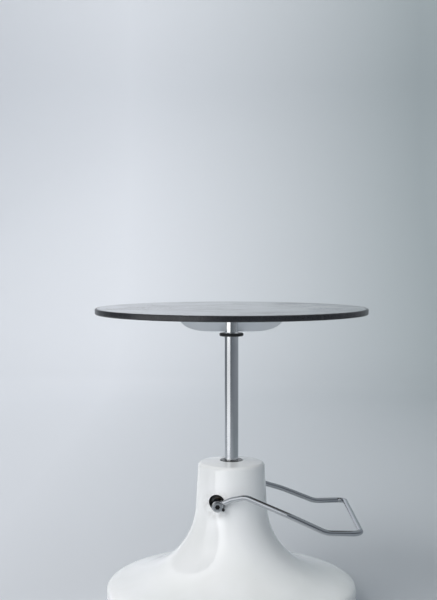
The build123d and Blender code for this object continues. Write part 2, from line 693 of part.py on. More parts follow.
with BuildPart() as piston_spacer:
    with BuildSketch(Plane.XY.offset(RAM_BOTTOM_Z)):
        Circle(12)
        Circle(8, mode=Mode.SUBTRACT)
    extrude(amount=PISTON_TOP_Z - PISTON_T - RAM_BOTTOM_Z)

with BuildPart() as stop_ring:
    with BuildSketch(Plane.XY.offset(SHOULDER_Z - STOP_RING_T)):
        Circle(STOP_RING_R)
        Circle(RAM_R, mode=Mode.SUBTRACT)
    extrude(amount=STOP_RING_T)
    ring_edges = stop_ring.edges().filter_by(GeomType.CIRCLE)
    fillet(ring_edges.filter_by(lambda e: abs(e.radius - STOP_RING_R) < 0.01), 2)

with BuildPart() as pivot_ball:
    with Locations((0, 0, SPIGOT_TOP_Z + 3.4)):
        Sphere(PIVOT_BALL_R)

# ---------------------------------------------------------------------------
# Turntable top
# ---------------------------------------------------------------------------
HUB_ROOF_Z = SPIGOT_TOP_Z + 3.4 + PIVOT_BALL_R + RUNNING
SET_SCREW_Z = 476
with BuildPart() as table_hub:
    with BuildSketch(Plane.XY.offset(HUB_BOTTOM_Z)):
        Circle(HUB_R)
    extrude(amount=BOARD_BOTTOM_Z - HUB_BOTTOM_Z)
    with BuildSketch(Plane.XY.offset(HUB_BOTTOM_Z)):
        Circle(HUB_BORE_R)
    extrude(amount=HUB_ROOF_Z - HUB_BOTTOM_Z, mode=Mode.SUBTRACT)
    with BuildSketch(Plane.XZ):
        with Locations((0, SET_SCREW_Z)):
            Circle(1.5)
    extrude(amount=-HUB_R - 1, mode=Mode.SUBTRACT)

with BuildPart() as hub_bushes:
    with BuildSketch(Plane.XY.offset(HUB_BOTTOM_Z)):
        Circle(HUB_BORE_R)
        Circle(SPIGOT_R + RUNNING, mode=Mode.SUBTRACT)
    extrude(amount=8.5)
    with BuildSketch(Plane.XY.offset(478.5)):
        Circle(HUB_BORE_R)
        Circle(SPIGOT_R + RUNNING, mode=Mode.SUBTRACT)
    extrude(amount=SPIGOT_TOP_Z - 478.5 - 0.5)

with BuildPart() as hub_set_screw:
    with BuildSketch(Plane.XZ.offset(-SPIGOT_R + 0.5)):
        with Locations((0, SET_SCREW_Z)):
            Circle(1.5)
    extrude(amount=-(HUB_R - SPIGOT_R))

FLANGE_BOTTOM_Z = BOARD_BOTTOM_Z - FLANGE_T
with BuildPart() as table_flange:
    with BuildSketch(Plane.XY.offset(FLANGE_BOTTOM_Z)):
        Circle(TABLE_FLANGE_R)
    extrude(amount=FLANGE_T)
    # two gussets run out level from the hub, then curve up to the plate's edge
    with BuildSketch(Plane.XZ):
        for side in (1, -1):
            with BuildLine():
                level = (side * GUSSET_LEVEL_X, GUSSET_BOTTOM_Z)
                tip = (side * (TABLE_FLANGE_R - 1), FLANGE_BOTTOM_Z)
                Spline(level, tip, tangents=((side, 0), (0, 1)), tangent_scalars=(1.3, 1.0))
                Polyline(tip, (0, FLANGE_BOTTOM_Z), (0, GUSSET_BOTTOM_Z), level)
            make_face()
    extrude(amount=GUSSET_T / 2, both=True)
    with BuildSketch(Plane.XY.offset(GUSSET_BOTTOM_Z)):
        Circle(HUB_R)
    extrude(amount=BOARD_BOTTOM_Z - GUSSET_BOTTOM_Z, mode=Mode.SUBTRACT)
    with BuildSketch(Plane.XY.offset(FLANGE_BOTTOM_Z)):
        with PolarLocations(FLANGE_SCREW_R, 6, start_angle=30):
            Circle(2.5)
    extrude(amount=FLANGE_T, mode=Mode.SUBTRACT)

with BuildPart() as flange_screws:
    with BuildSketch(Plane.XY.offset(FLANGE_BOTTOM_Z - 2.5)):
        with PolarLocations(FLANGE_SCREW_R, 6, start_angle=30):
            Circle(4.5)
    extrude(amount=2.5)
    with BuildSketch(Plane.XY.offset(FLANGE_BOTTOM_Z)):
        with PolarLocations(FLANGE_SCREW_R, 6, start_angle=30):
            Circle(2.5)
    extrude(amount=FLANGE_T + 5)
    with BuildSketch(Plane.XY.offset(FLANGE_BOTTOM_Z - 2.5)):
        with PolarLocations(FLANGE_SCREW_R, 6, start_angle=30):
            RegularPolygon(1.8, 6)
    extrude(amount=1.5, mode=Mode.SUBTRACT)

BOARD_R = TOP_R - EDGE_T
BOARD_TOP_Z = TOP_Z - LAMINATE_T
with BuildPart() as table_board:
    with BuildSketch(Plane.XY.offset(BOARD_BOTTOM_Z)):
        Circle(BOARD_R)
    extrude(amount=BOARD_TOP_Z - BOARD_BOTTOM_Z)
    with BuildSketch(Plane.XY.offset(BOARD_BOTTOM_Z)):
        with PolarLocations(FLANGE_SCREW_R, 6, start_angle=30):
            Circle(2.5)
    extrude(amount=5, mode=Mode.SUBTRACT)

with BuildPart() as top_laminate:
    with BuildSketch(Plane.XY.offset(BOARD_TOP_Z)):
        Circle(BOARD_R)
    extrude(amount=LAMINATE_T)

with BuildPart() as edge_trim:
    with BuildSketch(Plane.XY.offset(BOARD_BOTTOM_Z - EDGE_LIP)):
        Circle(TOP_R)
        Circle(BOARD_R, mode=Mode.SUBTRACT)
    extrude(amount=TOP_Z - BOARD_BOTTOM_Z + EDGE_LIP)
    trim_edges = edge_trim.edges().filter_by(GeomType.CIRCLE)
    fillet(trim_edges.filter_by(lambda e: abs(e.radius - TOP_R) < 0.01), 2.2)

# ---------------------------------------------------------------------------
# Every finished piece, under the name a person would use
# ---------------------------------------------------------------------------
PIECES = {
    "base_shell": base_shell,
    "base_plate": base_plate,
    "base_plate_screws": base_plate_screws,
    "rubber_feet": rubber_feet,
    "foot_screws": foot_screws,
    "reservoir_tank": reservoir_tank,
    "tank_bolts": tank_bolts,
    "valve_block": valve_block,
    "check_valve_balls": check_valve_balls,
    "cylinder_tube": cylinder_tube,
    "tank_cap": tank_cap,
    "cap_screws": cap_screws,
    "lever_bracket": lever_bracket,
    "shaft_bushes": shaft_bushes,
    "pump_barrel": pump_barrel,
    "release_valve_body": release_valve_body,
    "filler_plug": filler_plug,
    "guide_bush": guide_bush,
    "rod_seal": rod_seal,
    "gland_ring": gland_ring,
    "wiper_seal": wiper_seal,
    "cross_shaft": cross_shaft,
    "rocker_fork": rocker_fork,
    "fork_pins": fork_pins,
    "presser_pin": presser_pin,
    "lever_bail": lever_bail,
    "lever_bosses": lever_bosses,
    "boss_screws": boss_screws,
    "pump_plunger": pump_plunger,
    "plunger_ring": plunger_ring,
    "plunger_spring": plunger_spring,
    "release_pin": release_pin,
    "release_spring": release_spring,
    "ram": ram,
    "piston_ring": piston_ring,
    "piston_spacer": piston_spacer,
    "piston_screw": piston_screw,
    "stop_ring": stop_ring,
    "pivot_ball": pivot_ball,
    "table_hub": table_hub,
    "hub_bushes": hub_bushes,
    "hub_set_screw": hub_set_screw,
    "table_flange": table_flange,
    "flange_screws": flange_screws,
    "table_board": table_board,
    "top_laminate": top_laminate,
    "edge_trim": edge_trim,
}
for name, piece in PIECES.items():
    piece.part.label = name
    export_step(piece.part, f"parts/{name}.step")
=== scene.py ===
import math

import bmesh
import bpy
from mathutils import Matrix, Vector


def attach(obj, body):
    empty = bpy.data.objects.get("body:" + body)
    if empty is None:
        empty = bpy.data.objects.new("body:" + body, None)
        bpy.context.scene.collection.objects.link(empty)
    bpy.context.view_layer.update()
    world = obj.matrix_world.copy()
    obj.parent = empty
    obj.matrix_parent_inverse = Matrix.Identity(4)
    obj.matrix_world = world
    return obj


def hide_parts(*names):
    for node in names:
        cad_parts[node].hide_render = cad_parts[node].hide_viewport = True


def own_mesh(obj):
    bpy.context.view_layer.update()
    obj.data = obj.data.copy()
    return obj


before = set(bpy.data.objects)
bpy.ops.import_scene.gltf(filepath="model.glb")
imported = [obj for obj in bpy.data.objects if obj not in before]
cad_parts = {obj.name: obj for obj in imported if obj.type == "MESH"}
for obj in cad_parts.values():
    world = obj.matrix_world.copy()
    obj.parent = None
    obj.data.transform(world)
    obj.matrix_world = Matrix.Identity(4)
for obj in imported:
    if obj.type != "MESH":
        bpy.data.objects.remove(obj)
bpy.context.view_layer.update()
scene = bpy.context.scene
MM = 0.001

# ---------------------------------------------------------------------------
# Camera: the height of the frame is the sensor's long side
# ---------------------------------------------------------------------------
SENSOR, LENS = 36, 65.29
EYE, LOOKS_DOWN = (-0.0215, -1.7984, 0.599), 2.58

camera_data = bpy.data.cameras.new("camera")
camera_data.sensor_fit = "AUTO"
camera_data.sensor_width = SENSOR
camera_data.lens = LENS
camera = bpy.data.objects.new("camera", camera_data)
camera.location = EYE
camera.rotation_euler = (math.radians(90 - LOOKS_DOWN), 0, 0)
scene.collection.objects.link(camera)
scene.camera = camera


# ---------------------------------------------------------------------------
# Node helpers
# ---------------------------------------------------------------------------
class Shader:
    """A material whose Principled sockets take either a plain value or another node's output."""

    def __init__(self, name, **sockets):
        self.material = bpy.data.materials.new(name)
        self.material.use_nodes = True
        self.tree = self.material.node_tree
        self.bsdf = self.tree.nodes["Principled BSDF"]
        self.where = self.node("ShaderNodeTexCoord").outputs["Object"]
        self.set(**sockets)

    def node(self, kind, **settings):
        made = self.tree.nodes.new(kind)
        for key, value in settings.items():
            setattr(made, key, value)
        return made

    def feed(self, socket, value):
        if isinstance(value, bpy.types.NodeSocket):
            self.tree.links.new(value, socket)
        else:
            socket.default_value = value

    def set(self, **sockets):
        for key, value in sockets.items():
            self.feed(self.bsdf.inputs[key.replace("_", " ")], value)

    def stretch(self, scale):
        made = self.node("ShaderNodeMapping")
        self.feed(made.inputs["Vector"], self.where)
        made.inputs["Scale"].default_value = scale
        return made.outputs["Vector"]

    def noise(self, scale, detail=3.0, rough=0.55, vector=None, distortion=0.0):
        made = self.node("ShaderNodeTexNoise")
        self.feed(made.inputs["Vector"], vector or self.where)
        made.inputs["Scale"].default_value = scale
        made.inputs["Detail"].default_value = detail
        made.inputs["Roughness"].default_value = rough
        made.inputs["Distortion"].default_value = distortion
        return made.outputs["Fac"]

    def cells(self, scale):
        made = self.node("ShaderNodeTexVoronoi")
        self.feed(made.inputs["Vector"], self.where)
        made.inputs["Scale"].default_value = scale
        return made.outputs["Distance"]

    def span(self, value, low, high, to_low=0.0, to_high=1.0):
        made = self.node("ShaderNodeMapRange", clamp=True)
        self.feed(made.inputs["Value"], value)
        made.inputs["From Min"].default_value = low
        made.inputs["From Max"].default_value = high
        made.inputs["To Min"].default_value = to_low
        made.inputs["To Max"].default_value = to_high
        return made.outputs["Result"]

    def math(self, operation, a, b=0.0, c=0.0):
        made = self.node("ShaderNodeMath", operation=operation)
        for socket, value in zip(made.inputs, (a, b, c)):
            self.feed(socket, value)
        return made.outputs["Value"]

    def mix(self, factor, a, b):
        made = self.node("ShaderNodeMix", data_type="RGBA")
        self.feed(made.inputs["Factor"], factor)
        self.feed(made.inputs["A"], a)
        self.feed(made.inputs["B"], b)
        return made.outputs["Result"]

    def split(self):
        made = self.node("ShaderNodeSeparateXYZ")
        self.feed(made.inputs["Vector"], self.where)
        return made.outputs

    def join(self, x, y, z):
        made = self.node("ShaderNodeCombineXYZ")
        for socket, value in zip(made.inputs, (x, y, z)):
            self.feed(socket, value)
        return made.outputs["Vector"]

    def length(self, a, b):
        """The root of a squared plus b squared."""
        return self.math("SQRT", self.math("ADD", self.math("MULTIPLY", a, a), self.math("MULTIPLY", b, b)))

    def edges(self, low, high):
        """Worn convex edges, from the mesh's own curvature."""
        return self.span(self.node("ShaderNodeNewGeometry").outputs["Pointiness"], low, high)

    def bump(self, height, strength, distance):
        made = self.node("ShaderNodeBump")
        self.feed(made.inputs["Height"], height)
        made.inputs["Strength"].default_value = strength
        made.inputs["Distance"].default_value = distance
        if self.bsdf.inputs["Normal"].links:
            self.feed(made.inputs["Normal"], self.bsdf.inputs["Normal"].links[0].from_socket)
        self.feed(self.bsdf.inputs["Normal"], made.outputs["Normal"])


def rgb(r, g, b):
    """An sRGB colour, 0 to 255, as linear light."""
    def linear(v):
        v /= 255
        return v / 12.92 if v <= 0.04045 else ((v + 0.055) / 1.055) ** 2.4
    return (linear(r), linear(g), linear(b), 1.0)


# ---------------------------------------------------------------------------
# Materials
# ---------------------------------------------------------------------------
def enamel():
    """Thick white enamel: a faint orange peel, a little yellowing, dust low down, oil at the lever."""
    s = Shader("white_enamel", Coat_Weight=0.35, Coat_Roughness=0.06, IOR=1.5)
    cloud = s.span(s.noise(7, 3), 0.35, 0.7)
    tone = s.mix(cloud, rgb(236, 239, 241), rgb(229, 233, 233))
    x, _, z = s.split()
    low = s.span(z, 0.006, 0.06, 1.0, 0.0)
    dusty = s.math("MULTIPLY", low, s.span(s.noise(55, 5, 0.65), 0.42, 0.72))
    tone = s.mix(s.math("MULTIPLY", dusty, 0.45), tone, rgb(176, 172, 160))
    # oily fingerprints and rubbing round the lever's openings
    far = s.length(s.math("ADD", x, 0.024), s.math("ADD", z, -0.188))
    near = s.math("MULTIPLY", s.span(far, 0.012, 0.026, 1.0, 0.0), s.span(s.noise(140, 4), 0.35, 0.65))
    tone = s.mix(s.math("MULTIPLY", near, 0.35), tone, rgb(120, 112, 100))
    specks = s.span(s.cells(230), 0.045, 0.075, 1.0, 0.0)
    sparse = s.span(s.noise(24, 2), 0.62, 0.66)
    tone = s.mix(s.math("MULTIPLY", s.math("MULTIPLY", specks, sparse), 0.55), tone, rgb(110, 108, 104))
    smear = s.span(s.noise(16, 6, 0.6), 0.3, 0.75, 0.10, 0.26)
    s.set(Base_Color=tone, Roughness=s.math("ADD", smear, s.math("MULTIPLY", dusty, 0.3)))
    s.bump(s.noise(260, 2, 0.5), 0.10, 0.0004)
    s.bump(s.noise(38, 2, 0.5), 0.10, 0.0012)
    return s.material


def chrome(name, grain, tint=(208, 211, 215)):
    """Hard chrome with drawn or handling lines along one direction, a haze of oil and a few pits."""
    s = Shader(name, Metallic=1.0, IOR=2.5)
    lines = s.noise(60, 4, 0.7, s.stretch(grain))
    haze = s.span(s.noise(28, 4, 0.6), 0.4, 0.75)
    pits = s.span(s.cells(420), 0.05, 0.09, 1.0, 0.0)
    pits = s.math("MULTIPLY", pits, s.span(s.noise(46, 2), 0.60, 0.66))
    worn = s.math("MULTIPLY", s.edges(0.53, 0.60), 0.5)
    tone = s.mix(s.math("MULTIPLY", haze, 0.35), rgb(*tint), rgb(178, 182, 189))
    tone = s.mix(s.math("MULTIPLY", pits, 0.6), tone, rgb(96, 84, 70))
    tone = s.mix(worn, tone, rgb(226, 226, 224))
    rough = s.math("ADD", s.span(lines, 0.3, 0.7, 0.05, 0.13), s.math("MULTIPLY", haze, 0.07))
    s.set(Base_Color=tone, Roughness=s.math("ADD", rough, s.math("MULTIPLY", pits, 0.3)))
    s.bump(lines, 0.05, 0.0002)
    return s.material


def laminate():
    """High-gloss black laminate that has had pots turned on it: arcs of scratches, smudges and dust."""
    s = Shader("black_laminate", Coat_Weight=0.4, Coat_Roughness=0.03, IOR=1.5)
    x, y, _ = s.split()
    arcs = s.noise(1.0, 2, 0.5, s.join(s.math("MULTIPLY", s.length(x, y), 900.0), s.noise(3, 1), 0.0))
    rubbed = s.math("MULTIPLY", s.span(arcs, 0.56, 0.68), s.span(s.noise(9, 3), 0.40, 0.62))
    smudge = s.span(s.noise(13, 5, 0.62, distortion=0.6), 0.42, 0.72)
    dust = s.span(s.cells(620), 0.03, 0.09, 1.0, 0.0)
    dust = s.math("MULTIPLY", dust, s.span(s.noise(18, 3), 0.46, 0.60))
    tone = s.mix(s.math("MULTIPLY", smudge, 0.75), rgb(19, 20, 22), rgb(44, 45, 48))
    tone = s.mix(s.math("MULTIPLY", rubbed, 0.55), tone, rgb(88, 89, 93))
    tone = s.mix(s.math("MULTIPLY", dust, 0.8), tone, rgb(168, 166, 160))
    rough = s.math("ADD", s.span(smudge, 0.0, 1.0, 0.07, 0.22), s.math("MULTIPLY", rubbed, 0.2))
    s.set(Base_Color=tone, Roughness=s.math("ADD", rough, s.math("MULTIPLY", dust, 0.5)))
    s.bump(rubbed, 0.15, 0.00005)
    return s.material


def plastic(name, dark, light, rough=(0.22, 0.38)):
    """Extruded or moulded black plastic: fine grain, whitened scuffs on the edges, dust."""
    s = Shader(name, IOR=1.5, Coat_Weight=0.15, Coat_Roughness=0.2)
    grain = s.noise(900, 2, 0.6)
    scuff = s.math("MULTIPLY", s.span(s.noise(70, 5, 0.7), 0.55, 0.72), 0.6)
    tone = s.mix(s.span(s.noise(12, 3), 0.35, 0.7), dark, light)
    tone = s.mix(s.math("MULTIPLY", scuff, 0.18), tone, rgb(120, 122, 126))
    s.set(
        Base_Color=tone,
        Roughness=s.math("ADD", s.span(grain, 0.3, 0.7, *rough), s.math("MULTIPLY", scuff, 0.15)),
    )
    s.bump(grain, 0.12, 0.00008)
    return s.material


def rubber(name, tone_a, tone_b, rough=(0.55, 0.75)):
    """Moulded rubber with a bloom of dust in the hollows of its grain."""
    s = Shader(name, IOR=1.5, Sheen_Weight=0.15, Sheen_Roughness=0.4)
    grain = s.noise(1300, 3, 0.6)
    bloom = s.span(s.noise(60, 5, 0.65), 0.4, 0.75)
    tone = s.mix(s.math("MULTIPLY", bloom, 0.6), tone_a, tone_b)
    s.set(Base_Color=tone, Roughness=s.span(grain, 0.3, 0.7, *rough))
    s.bump(grain, 0.25, 0.00012)
    s.bump(bloom, 0.1, 0.0003)
    return s.material


def steel(name, tint, shade, rough=(0.25, 0.42), grain=(1, 1, 1), rust=0.25):
    """Plated or machined steel: directional grain, mottled plating, a few small spots of rust."""
    s = Shader(name, Metallic=1.0)
    lines = s.noise(420, 4, 0.65, s.stretch(grain))
    mottle = s.span(s.noise(70, 5, 0.6), 0.35, 0.7)
    spots = s.math("MULTIPLY", s.span(s.noise(210, 4, 0.6), 0.62, 0.72), s.span(s.noise(17, 2), 0.5, 0.62))
    tone = s.mix(mottle, rgb(*tint), rgb(*shade))
    tone = s.mix(s.math("MULTIPLY", spots, rust), tone, rgb(104, 62, 34))
    tone = s.mix(s.math("MULTIPLY", s.edges(0.53, 0.62), 0.5), tone, rgb(224, 222, 216))
    s.set(
        Base_Color=tone,
        Roughness=s.math("ADD", s.span(lines, 0.3, 0.7, *rough), s.math("MULTIPLY", spots, rust)),
    )
    s.bump(lines, 0.12, 0.0001)
    return s.material


def socket_screw():
    """Bright cap head; the recess of its hexagon socket is painted near-black as painted shade, and the small
    clamp screw beside it is coloured near-black.
    """
    s = Shader("socket_screw", Metallic=1.0)
    x, y, z = s.split()
    off = s.length(s.math("SUBTRACT", x, -0.023), s.math("SUBTRACT", z, 0.1885))
    deep = s.math("LESS_THAN", s.math("ABSOLUTE", y), 0.0712)
    # painted shade: near-black fills the hexagon socket's recess
    painted_socket_shade = s.math("MULTIPLY", s.span(off, 0.0041, 0.0044, 1.0, 0.0), deep)
    # the same near-black covers the small clamp screw beyond the head
    black = s.math("MAXIMUM", painted_socket_shade, s.span(off, 0.0073, 0.0076))
    rings = s.noise(1.0, 3, 0.6, s.join(s.math("MULTIPLY", off, 1800.0), 0.0, 0.0))
    tone = s.mix(s.span(s.noise(160, 4), 0.35, 0.7), rgb(196, 198, 200), rgb(158, 160, 163))
    s.set(
        Base_Color=s.mix(black, tone, rgb(20, 20, 22)),
        Metallic=s.span(black, 0.0, 1.0, 1.0, 0.2),
        Roughness=s.math("ADD", s.span(rings, 0.3, 0.7, 0.24, 0.4), s.math("MULTIPLY", black, 0.2)),
    )
    s.bump(rings, 0.12, 0.0001)
    return s.material


def bronze():
    """Turned bearing bronze, tarnished brown in patches."""
    s = Shader("bronze", Metallic=1.0)
    lines = s.noise(500, 4, 0.65, s.stretch((1, 1, 0.15)))
    tarnish = s.span(s.noise(90, 5, 0.65), 0.38, 0.7)
    tone = s.mix(tarnish, rgb(198, 154, 92), rgb(138, 98, 56))
    s.set(Base_Color=tone, Roughness=s.span(lines, 0.3, 0.7, 0.24, 0.44))
    s.bump(lines, 0.12, 0.0001)
    return s.material


def painted_cast():
    """Grey machine paint over a sand casting, oily in places."""
    s = Shader("painted_cast", IOR=1.5, Coat_Weight=0.1)
    sand = s.noise(520, 4, 0.65)
    oil = s.span(s.noise(22, 4, 0.6), 0.45, 0.7)
    chip = s.math("MULTIPLY", s.edges(0.53, 0.6), s.span(s.noise(160, 4), 0.5, 0.6))
    tone = s.mix(oil, rgb(92, 97, 100), rgb(58, 60, 60))
    tone = s.mix(chip, tone, rgb(150, 146, 140))
    s.set(Base_Color=tone, Roughness=s.span(oil, 0.0, 1.0, 0.6, 0.25))
    s.bump(sand, 0.35, 0.0006)
    return s.material


def grey_enamel():
    """Thin light grey enamel on pressed steel, smooth, with a few chips."""
    s = Shader("grey_enamel", IOR=1.5, Coat_Weight=0.25, Coat_Roughness=0.15)
    cloud = s.span(s.noise(18, 4), 0.35, 0.7)
    tone = s.mix(cloud, rgb(226, 230, 234), rgb(216, 221, 226))
    chip = s.span(s.cells(90), 0.06, 0.08, 1.0, 0.0)
    chip = s.math("MULTIPLY", chip, s.span(s.noise(30, 2), 0.60, 0.64))
    tone = s.mix(s.math("MULTIPLY", chip, 0.5), tone, rgb(104, 100, 96))
    s.set(Base_Color=tone, Roughness=s.span(s.noise(40, 5), 0.3, 0.7, 0.28, 0.45))
    s.bump(s.noise(330, 3), 0.12, 0.0003)
    return s.material


def fibreboard():
    """Sealed hardboard: matted fibres under a thin dark varnish."""
    s = Shader("fibreboard", IOR=1.45, Coat_Weight=0.08, Coat_Roughness=0.4)
    fibre = s.noise(260, 6, 0.75, s.stretch((1.0, 0.3, 1.0)), distortion=1.2)
    cross = s.noise(300, 6, 0.75, s.stretch((0.3, 1.0, 1.0)), distortion=1.2)
    mat = s.span(s.math("MAXIMUM", fibre, cross), 0.45, 0.8)
    tone = s.mix(mat, rgb(58, 43, 32), rgb(98, 76, 56))
    tone = s.mix(s.math("MULTIPLY", s.span(s.noise(9, 4), 0.45, 0.7), 0.4), tone, rgb(44, 33, 26))
    s.set(Base_Color=tone, Roughness=s.span(mat, 0.0, 1.0, 0.42, 0.62))
    s.bump(mat, 0.25, 0.0003)
    return s.material


MATERIALS = {
    "white_enamel": enamel(),
    "ram_chrome": chrome("ram_chrome", (1.0, 1.0, 0.02)),
    # the bail's chrome is tinted darker than the ram's: painted shade for the dim surroundings that the wire
    # reflects
    "bail_chrome": chrome("bail_chrome", (0.25, 1.0, 1.0), (176, 179, 183)),
    "black_laminate": laminate(),
    "black_trim": plastic("black_trim", rgb(24, 25, 28), rgb(34, 36, 40)),
    "ring_rubber": rubber("ring_rubber", rgb(14, 15, 17), rgb(30, 32, 35), (0.45, 0.6)),
    "seal_rubber": rubber("seal_rubber", rgb(14, 15, 17), rgb(30, 32, 35), (0.18, 0.32)),
    "foot_rubber": rubber("foot_rubber", rgb(24, 24, 25), rgb(58, 57, 55)),
    "zinc_plate": steel("zinc_plate", (190, 192, 194), (162, 163, 160), (0.28, 0.46)),
    "socket_screw": socket_screw(),
    "steel_screw": steel("steel_screw", (186, 187, 188), (140, 141, 142), (0.22, 0.38)),
    "machined_steel": steel(
        "machined_steel", (176, 178, 181), (142, 144, 148), (0.16, 0.3), (1, 1, 0.1), 0.1,
    ),
    "spring_steel": steel("spring_steel", (128, 130, 134), (96, 98, 102), (0.3, 0.45), (1, 1, 1), 0.4),
    "bronze": bronze(),
    "painted_cast": painted_cast(),
    "grey_enamel": grey_enamel(),
    "fibreboard": fibreboard(),
}
LOOK = {
    "base_shell": "white_enamel", "base_plate": "zinc_plate", "base_plate_screws": "steel_screw",
    "rubber_feet": "foot_rubber", "foot_screws": "steel_screw", "reservoir_tank": "painted_cast",
    "tank_bolts": "steel_screw", "valve_block": "painted_cast", "check_valve_balls": "machined_steel",
    "cylinder_tube": "machined_steel", "tank_cap": "painted_cast", "cap_screws": "steel_screw",
    "lever_bracket": "zinc_plate", "shaft_bushes": "bronze", "pump_barrel": "machined_steel",
    "release_valve_body": "bronze", "filler_plug": "bronze", "guide_bush": "bronze",
    "rod_seal": "seal_rubber", "gland_ring": "machined_steel", "wiper_seal": "seal_rubber",
    "cross_shaft": "machined_steel", "rocker_fork": "zinc_plate", "fork_pins": "machined_steel",
    "presser_pin": "machined_steel", "lever_bail": "bail_chrome", "lever_bosses": "bail_chrome",
    "boss_screws": "socket_screw", "pump_plunger": "machined_steel", "plunger_ring": "seal_rubber",
    "plunger_spring": "spring_steel", "release_pin": "machined_steel", "release_spring": "spring_steel",
    "ram": "ram_chrome", "piston_ring": "bronze", "piston_spacer": "machined_steel",
    "piston_screw": "machined_steel", "stop_ring": "ring_rubber", "pivot_ball": "machined_steel",
    "table_hub": "ram_chrome", "hub_bushes": "bronze", "hub_set_screw": "steel_screw",
    "table_flange": "grey_enamel", "flange_screws": "steel_screw", "table_board": "fibreboard",
    "top_laminate": "black_laminate", "edge_trim": "black_trim",
}
for node, look in LOOK.items():
    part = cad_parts[node]
    for holder in part.material_slots:
        holder.material = MATERIALS[look]


# ---------------------------------------------------------------------------
# Mesh helpers
# ---------------------------------------------------------------------------
def finish_mesh(mesh, name, look, body, nodes, sharp=35):
    mesh.shade_smooth()
    mesh.set_sharp_from_angle(angle=math.radians(sharp))
    piece = bpy.data.objects.new(name, mesh)
    scene.collection.objects.link(piece)
    mesh.materials.clear()
    mesh.materials.append(MATERIALS[look])
    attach(piece, body)
    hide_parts(*nodes)
    return piece


def lathe(profile, around=192):
    """A closed surface of revolution about Z from (radius, height) points in mm.

    It is a ring where the points keep off the axis.
    """
    mesh = bpy.data.meshes.new("turned")
    made = bmesh.new()
    rings = []
    for r, z in profile:
        if r < 1e-6:
            rings.append([made.verts.new((0, 0, z * MM))])
            continue
        turn = [2 * math.pi * k / around for k in range(around)]
        rings.append([made.verts.new((r * MM * math.cos(t), r * MM * math.sin(t), z * MM)) for t in turn])
    loops = list(zip(rings, rings[1:]))
    if len(rings[0]) > 1:
        loops.append((rings[-1], rings[0]))
    for low, high in loops:
        for k in range(around):
            n = (k + 1) % around
            corners = [low[k % len(low)], low[n % len(low)], high[n % len(high)], high[k % len(high)]]
            face = list(dict.fromkeys(corners))
            if len(face) > 2:
                made.faces.new(face)
    bmesh.ops.recalc_face_normals(made, faces=made.faces)
    made.to_mesh(mesh)
    made.free()
    return mesh


def bezier(points, count=24):
    a, b, c, d = (Vector(p) for p in points)
    steps = [k / count for k in range(count + 1)]
    return [
        tuple((1 - t) ** 3 * a + 3 * t * (1 - t) ** 2 * b + 3 * t * t * (1 - t) * c + t ** 3 * d)
        for t in steps
    ]


def rounded(points, radii, count=6):
    """Corner points joined by straight runs with round corners; radii has one entry per inner corner."""
    path = [Vector(points[0])]
    for before, corner, after, radius in zip(points, points[1:], points[2:], radii):
        before, corner, after = Vector(before), Vector(corner), Vector(after)
        u, v = (before - corner).normalized(), (after - corner).normalized()
        half = u.angle(v) / 2
        reach = radius / math.tan(half)
        centre = corner + (u + v).normalized() * (radius / math.sin(half))
        start, end = corner + u * reach - centre, corner + v * reach - centre
        swing = start.angle(end)
        for k in range(count + 1):
            t = k / count
            spoke = (start * math.sin((1 - t) * swing) + end * math.sin(t * swing)) / math.sin(swing)
            path.append(centre + spoke)
    path.append(Vector(points[-1]))
    return path


def tube(path, radius, sides=32):
    """A round bar along a 3-D path, in metres, closed at both ends."""
    mesh = bpy.data.meshes.new("bar")
    made = bmesh.new()
    along = [(path[min(k + 1, len(path) - 1)] - path[max(k - 1, 0)]).normalized() for k in range(len(path))]
    side = along[0].orthogonal().normalized()
    rings = []
    for point, way in zip(path, along):
        side = (side - way * side.dot(way)).normalized()
        up = way.cross(side)
        turn = [2 * math.pi * k / sides for k in range(sides)]
        rings.append([made.verts.new(point + (side * math.cos(t) + up * math.sin(t)) * radius) for t in turn])
    for low, high in zip(rings, rings[1:]):
        for k in range(sides):
            n = (k + 1) % sides
            made.faces.new((low[k], low[n], high[n], high[k]))
    made.faces.new(rings[0][::-1])
    made.faces.new(rings[-1])
    made.to_mesh(mesh)
    made.free()
    return mesh


def cut(mesh, cutter, bevel):
    """The mesh less the cutter, with its sharp edges eased."""
    target = bpy.data.objects.new("target", mesh)
    tool = bpy.data.objects.new("tool", cutter)
    for obj in (target, tool):
        scene.collection.objects.link(obj)
    step = target.modifiers.new("cut", "BOOLEAN")
    step.operation, step.solver, step.object = "DIFFERENCE", "EXACT", tool
    ease = target.modifiers.new("ease", "BEVEL")
    ease.width, ease.segments, ease.limit_method = bevel, 3, "ANGLE"
    ease.angle_limit = math.radians(55)
    graph = bpy.context.evaluated_depsgraph_get()
    result = bpy.data.meshes.new_from_object(target.evaluated_get(graph))
    for obj in (target, tool):
        bpy.data.objects.remove(obj)
    return result


# ---------------------------------------------------------------------------
# Base shell
# ---------------------------------------------------------------------------
RIM_R, RIM_Z, FLARE_END, FLARE_SLOPE = 207, 39, (137, 69), math.radians(22.6)
NECK_ROOT, NECK_TOP, CROWN_Z, SEAT_R, WALL = (59, 177), (55.2, 248), 251.5, 19, 6.5
FOOT_Z, FOOT_ROUND, LEDGE_R, LEDGE_LOW_Z, LEDGE_TOP_Z = 6, 5, 182, 10, 16
SEAT_Z, ROOF_Z, COLLAR_R, COLLAR_Z, BORE_R = 243, 238, 24, 226, 17
WALL_HOLE_R, WALL_HOLE_AT, WALL_HOLE_HALF = 13, (-24, 191.5), 70
CROWN_STEP, CROWN_STEPS, NECK_EDGE, NECK_EDGE_R, NECK_STEPS = 3, 12, 7, 6.6, 14


